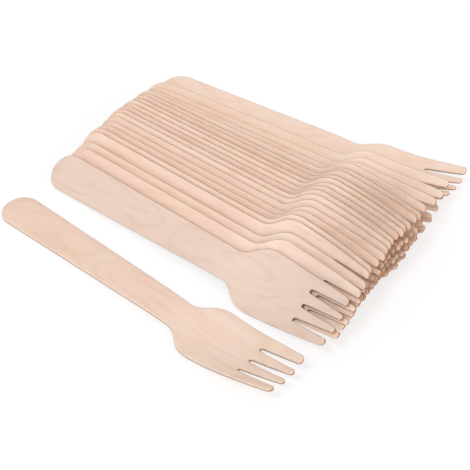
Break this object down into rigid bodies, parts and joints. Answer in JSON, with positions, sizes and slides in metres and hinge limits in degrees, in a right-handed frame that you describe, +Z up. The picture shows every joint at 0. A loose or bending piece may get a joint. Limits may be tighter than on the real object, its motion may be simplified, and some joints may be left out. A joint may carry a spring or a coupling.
{
  "type": "wooden fork pack",
  "caption": "Flat veneer forks with slotted tines and a scooped head, leaning on each other in a sideways-spread pile, with a loose fork lying in front.",
  "frame": {"origin": "middle of the pack's box, on the table that the forks lie on", "axes": "+X along the handles towards the tips, +Y from the loose fork to the rear of the pile, +Z up"},
  "size_m": [0.1694, 0.1572, 0.0273],
  "materials": {
    "birch": "bare sanded birch veneer, matt",
    "birch_loose": "bare sanded birch veneer, matt, a little warmer"
  },
  "bodies": {
    "root": {"fork_01": "birch", "fork_02": "birch", "fork_03": "birch", "fork_04": "birch", "fork_05": "birch", "fork_06": "birch", "fork_07": "birch", "fork_08": "birch", "fork_09": "birch", "fork_10": "birch", "fork_11": "birch", "fork_12": "birch", "fork_13": "birch", "fork_14": "birch", "fork_15": "birch", "fork_16": "birch", "fork_17": "birch", "fork_18": "birch", "fork_19": "birch", "fork_20": "birch", "fork_21": "birch", "loose_fork": "birch_loose"}
  },
  "joints": []
}
